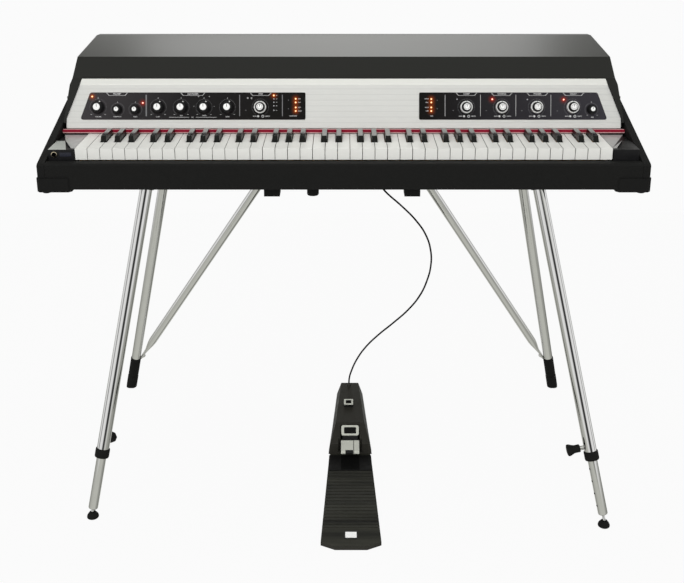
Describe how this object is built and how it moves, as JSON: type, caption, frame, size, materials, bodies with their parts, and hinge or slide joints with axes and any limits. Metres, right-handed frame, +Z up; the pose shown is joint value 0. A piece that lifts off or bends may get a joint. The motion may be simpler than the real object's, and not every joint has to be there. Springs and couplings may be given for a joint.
{
  "type": "electric piano",
  "caption": "Electric stage piano on four chromed tubular legs, with a sprung keyboard, a hammer action with tone bars, and a sustain pedal on a cable.",
  "frame": {"origin": "on the floor, under the middle of the box that holds the whole", "axes": "+X to the player's right, +Y away from the player, +Z up"},
  "size_m": [1.146, 0.756, 0.905],
  "materials": {
    "case_black": "black textured vinyl over board",
    "block_black": "satin black lacquer, with a bright end plate",
    "plywood": "dark stained board with fittings",
    "hood_black": "satin moulding",
    "brushed_aluminium": "brushed",
    "panel_black": "satin",
    "red_felt": "felt",
    "socket_metal": "bright",
    "action_wood": "bare",
    "harp_wood": "bare",
    "bar_steel": "bright",
    "damper_felt": "felt faced",
    "chrome": "polished",
    "rubber": "matt",
    "clamp_black": "matt",
    "pedal_black": "satin",
    "pedal_chrome": "polished, with a rubber pad",
    "cable_rubber": "matt",
    "key_white": "gloss",
    "key_black": "gloss",
    "hammer_plastic": "matt",
    "knob_black": "black body with a turned cap",
    "knob_silver": "turned"
  },
  "bodies": {
    "case": {"side_panel_left": "case_black", "side_panel_right": "case_black", "front_rail": "case_black", "back_panel": "case_black", "key_block_left": "block_black", "key_block_right": "block_black", "bottom_board": "plywood", "hood": "hood_black", "name_rail": "brushed_aluminium", "control_panel_left": "panel_black", "control_panel_right": "panel_black", "felt_strip": "red_felt", "headphone_socket": "socket_metal", "action_frame": "action_wood", "harp_frame": "harp_wood", "tone_bars": "bar_steel", "front_leg_left": "chrome", "front_leg_right": "chrome", "rear_leg_left": "chrome", "rear_leg_right": "chrome", "rear_brace_left": "chrome", "rear_brace_right": "chrome", "pedal_base": "pedal_black", "pedal_housing": "pedal_black", "pedal_cable": "cable_rubber"},
    "volume_knob": {"volume_knob": "knob_black"},
    "preamp_knob_inner": {"preamp_knob_inner": "knob_black"},
    "preamp_knob_outer": {"preamp_knob_outer": "knob_black"},
    "tone_knob_1": {"tone_knob_1": "knob_black"},
    "tone_knob_2": {"tone_knob_2": "knob_black"},
    "tone_knob_3": {"tone_knob_3": "knob_black"},
    "tone_knob_4": {"tone_knob_4": "knob_black"},
    "mix_knob": {"mix_knob": "knob_black"},
    "drive_ring": {"drive_ring": "knob_silver"},
    "drive_knob": {"drive_knob": "knob_silver"},
    "rate_1_ring": {"rate_1_ring": "knob_silver"},
    "rate_1_knob": {"rate_1_knob": "knob_silver"},
    "rate_2_ring": {"rate_2_ring": "knob_silver"},
    "rate_2_knob": {"rate_2_knob": "knob_silver"},
    "rate_3_ring": {"rate_3_ring": "knob_silver"},
    "rate_3_knob": {"rate_3_knob": "knob_silver"},
    "rate_4_ring": {"rate_4_ring": "knob_silver"},
    "rate_4_knob": {"rate_4_knob": "knob_silver"},
    "keys_bass": {"natural_keys_bass": "key_white", "sharp_keys_bass": "key_black"},
    "hammers_bass": {"hammers_bass": "hammer_plastic"},
    "keys_middle": {"natural_keys_middle": "key_white", "sharp_keys_middle": "key_black"},
    "hammers_middle": {"hammers_middle": "hammer_plastic"},
    "keys_treble": {"natural_keys_treble": "key_white", "sharp_keys_treble": "key_black"},
    "hammers_treble": {"hammers_treble": "hammer_plastic"},
    "pedal_treadle": {"pedal_treadle": "pedal_chrome"},
    "damper_bar": {"damper_bar": "damper_felt"},
    "leg_extension_left": {"leg_extension_left": "chrome"},
    "levelling_foot_left": {"levelling_foot_left": "rubber"},
    "clamp_knob_left": {"clamp_knob_left": "clamp_black"},
    "leg_extension_right": {"leg_extension_right": "chrome"},
    "levelling_foot_right": {"levelling_foot_right": "rubber"},
    "clamp_knob_right": {"clamp_knob_right": "clamp_black"}
  },
  "joints": [
    {"name": "volume_knob_turn", "type": "hinge", "parent": "case", "child": "volume_knob", "pos_m": [-0.48672, -0.05437, 0.79587], "axis": [0, -0.9542, 0.2993], "range_deg": [-150, 150]},
    {"name": "preamp_knob_inner_turn", "type": "hinge", "parent": "case", "child": "preamp_knob_inner", "pos_m": [-0.44819, -0.05569, 0.79167], "axis": [0, -0.9542, 0.2993], "range_deg": [-150, 150]},
    {"name": "preamp_knob_outer_turn", "type": "hinge", "parent": "case", "child": "preamp_knob_outer", "pos_m": [-0.41291, -0.05569, 0.79167], "axis": [0, -0.9542, 0.2993], "range_deg": [-150, 150]},
    {"name": "tone_knob_1_turn", "type": "hinge", "parent": "case", "child": "tone_knob_1", "pos_m": [-0.36782, -0.05437, 0.79587], "axis": [0, -0.9542, 0.2993], "range_deg": [-150, 150]},
    {"name": "tone_knob_2_turn", "type": "hinge", "parent": "case", "child": "tone_knob_2", "pos_m": [-0.32222, -0.05437, 0.79587], "axis": [0, -0.9542, 0.2993], "range_deg": [-150, 150]},
    {"name": "tone_knob_3_turn", "type": "hinge", "parent": "case", "child": "tone_knob_3", "pos_m": [-0.27691, -0.05437, 0.79587], "axis": [0, -0.9542, 0.2993], "range_deg": [-150, 150]},
    {"name": "tone_knob_4_turn", "type": "hinge", "parent": "case", "child": "tone_knob_4", "pos_m": [-0.23051, -0.05437, 0.79587], "axis": [0, -0.9542, 0.2993], "range_deg": [-150, 150]},
    {"name": "mix_knob_turn", "type": "hinge", "parent": "case", "child": "mix_knob", "pos_m": [0.49049, -0.05569, 0.79167], "axis": [0, -0.9542, 0.2993], "range_deg": [-150, 150]},
    {"name": "drive_ring_turn", "type": "hinge", "parent": "case", "child": "drive_ring", "pos_m": [-0.16553, -0.05437, 0.79587], "axis": [0, -0.9542, 0.2993], "range_deg": [-150, 150]},
    {"name": "drive_knob_turn", "type": "hinge", "parent": "case", "child": "drive_knob", "pos_m": [-0.16553, -0.05437, 0.79587], "axis": [0, -0.9542, 0.2993], "range_deg": [-150, 150]},
    {"name": "rate_1_ring_turn", "type": "hinge", "parent": "case", "child": "rate_1_ring", "pos_m": [0.24242, -0.05437, 0.79587], "axis": [0, -0.9542, 0.2993], "range_deg": [-150, 150]},
    {"name": "rate_1_knob_turn", "type": "hinge", "parent": "case", "child": "rate_1_knob", "pos_m": [0.24242, -0.05437, 0.79587], "axis": [0, -0.9542, 0.2993], "range_deg": [-150, 150]},
    {"name": "rate_2_ring_turn", "type": "hinge", "parent": "case", "child": "rate_2_ring", "pos_m": [0.31242, -0.05437, 0.79587], "axis": [0, -0.9542, 0.2993], "range_deg": [-150, 150]},
    {"name": "rate_2_knob_turn", "type": "hinge", "parent": "case", "child": "rate_2_knob", "pos_m": [0.31242, -0.05437, 0.79587], "axis": [0, -0.9542, 0.2993], "range_deg": [-150, 150]},
    {"name": "rate_3_ring_turn", "type": "hinge", "parent": "case", "child": "rate_3_ring", "pos_m": [0.38173, -0.05437, 0.79587], "axis": [0, -0.9542, 0.2993], "range_deg": [-150, 150]},
    {"name": "rate_3_knob_turn", "type": "hinge", "parent": "case", "child": "rate_3_knob", "pos_m": [0.38173, -0.05437, 0.79587], "axis": [0, -0.9542, 0.2993], "range_deg": [-150, 150]},
    {"name": "rate_4_ring_turn", "type": "hinge", "parent": "case", "child": "rate_4_ring", "pos_m": [0.45292, -0.05437, 0.79587], "axis": [0, -0.9542, 0.2993], "range_deg": [-150, 150]},
    {"name": "rate_4_knob_turn", "type": "hinge", "parent": "case", "child": "rate_4_knob", "pos_m": [0.45292, -0.05437, 0.79587], "axis": [0, -0.9542, 0.2993], "range_deg": [-150, 150]},
    {"name": "keys_bass_press", "type": "hinge", "parent": "case", "child": "keys_bass", "pos_m": [0, 0, 0.7253], "axis": [1, 0, 0], "range_deg": [0, 3.1], "stiffness_Nm_per_rad": 20, "springref_deg": -5.73},
    {"name": "hammers_bass_strike", "type": "hinge", "parent": "case", "child": "hammers_bass", "pos_m": [0, 0.085, 0.768], "axis": [1, 0, 0], "range_deg": [0, 25]},
    {"name": "keys_middle_press", "type": "hinge", "parent": "case", "child": "keys_middle", "pos_m": [0, 0, 0.7253], "axis": [1, 0, 0], "range_deg": [0, 3.1], "stiffness_Nm_per_rad": 20, "springref_deg": -5.73},
    {"name": "hammers_middle_strike", "type": "hinge", "parent": "case", "child": "hammers_middle", "pos_m": [0, 0.085, 0.768], "axis": [1, 0, 0], "range_deg": [0, 25]},
    {"name": "keys_treble_press", "type": "hinge", "parent": "case", "child": "keys_treble", "pos_m": [0, 0, 0.7253], "axis": [1, 0, 0], "range_deg": [0, 3.1], "stiffness_Nm_per_rad": 20, "springref_deg": -5.73},
    {"name": "hammers_treble_strike", "type": "hinge", "parent": "case", "child": "hammers_treble", "pos_m": [0, 0.085, 0.768], "axis": [1, 0, 0], "range_deg": [0, 25]},
    {"name": "pedal_press", "type": "hinge", "parent": "case", "child": "pedal_treadle", "pos_m": [0.014, 0.057, 0.034], "axis": [1, 0, 0], "range_deg": [0, 6], "stiffness_Nm_per_rad": 8, "springref_deg": -8.59},
    {"name": "damper_drop", "type": "slide", "parent": "case", "child": "damper_bar", "axis": [0, 0, 1], "range_m": [-0.006, 0]},
    {"name": "leg_extension_left_slide", "type": "slide", "parent": "case", "child": "leg_extension_left", "axis": [-0.1815, -0.2157, -0.9594], "range_m": [-0.09, 0.1]},
    {"name": "levelling_foot_left_swivel", "type": "hinge", "parent": "leg_extension_left", "child": "levelling_foot_left", "pos_m": [-0.50698, -0.27398, 0.01], "axis": [0, 0, 1], "continuous": true},
    {"name": "clamp_knob_left_turn", "type": "hinge", "parent": "case", "child": "clamp_knob_left", "pos_m": [-0.48108, -0.2432, 0.15033], "axis": [0.1224, 0.9631, -0.2397], "range_deg": [0, 360]},
    {"name": "leg_extension_right_slide", "type": "slide", "parent": "case", "child": "leg_extension_right", "axis": [0.2028, -0.2533, -0.9459], "range_m": [-0.09, 0.1]},
    {"name": "levelling_foot_right_swivel", "type": "hinge", "parent": "leg_extension_right", "child": "levelling_foot_right", "pos_m": [0.51848, -0.30245, 0.01], "axis": [0, 0, 1], "continuous": true},
    {"name": "clamp_knob_right_turn", "type": "hinge", "parent": "case", "child": "clamp_knob_right", "pos_m": [0.4875, -0.26376, 0.15774], "axis": [-0.9792, -0.0525, -0.1959], "range_deg": [0, 360]}
  ],
  "couplings": [
    {"joint": "hammers_bass_strike", "follows": "keys_bass_press", "ratio": 8},
    {"joint": "hammers_middle_strike", "follows": "keys_middle_press", "ratio": 8},
    {"joint": "hammers_treble_strike", "follows": "keys_treble_press", "ratio": 8},
    {"joint": "damper_drop", "follows": "pedal_press", "m_per_rad": -0.057}
  ]
}
